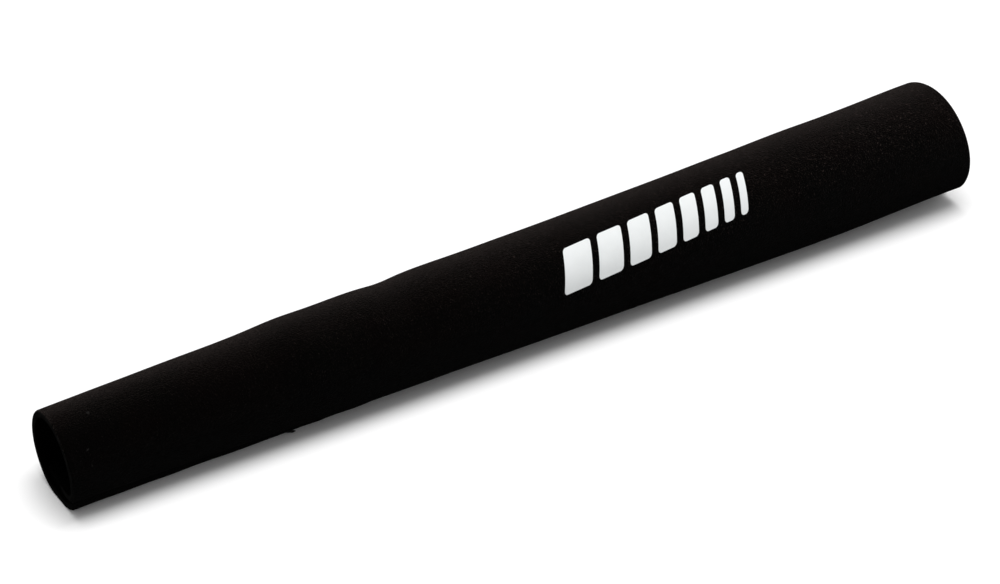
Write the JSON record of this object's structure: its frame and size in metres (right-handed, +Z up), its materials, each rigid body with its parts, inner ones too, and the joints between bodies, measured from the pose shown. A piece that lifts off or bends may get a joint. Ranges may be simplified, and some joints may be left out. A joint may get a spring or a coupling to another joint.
{
  "type": "chainstay protector",
  "caption": "Tapered soft sleeve of fabric-faced neoprene, rolled closed lengthways with a hook-and-loop seam, that wraps a bicycle's chainstay against chain slap.",
  "frame": {"origin": "under the middle of the sleeve's box, at the height of the surface that it lies on", "axes": "+X along the sleeve towards its large end, +Z up, -Y towards the side that the plain print faces"},
  "size_m": [0.2612, 0.0338, 0.0296],
  "materials": {
    "neoprene": "black knitted fabric face laminated on sponge neoprene, matt with a soft sheen",
    "hook_tape": "black woven nylon tape with fine stiff hooks",
    "loop_tape": "black woven nylon tape with a brushed loop pile",
    "thread": "black polyester sewing thread",
    "print": "thin off-white transfer print, soft and matt"
  },
  "bodies": {
    "root": {"neoprene_sleeve": "neoprene", "hook_tape": "hook_tape", "loop_tape": "loop_tape"}
  },
  "joints": []
}
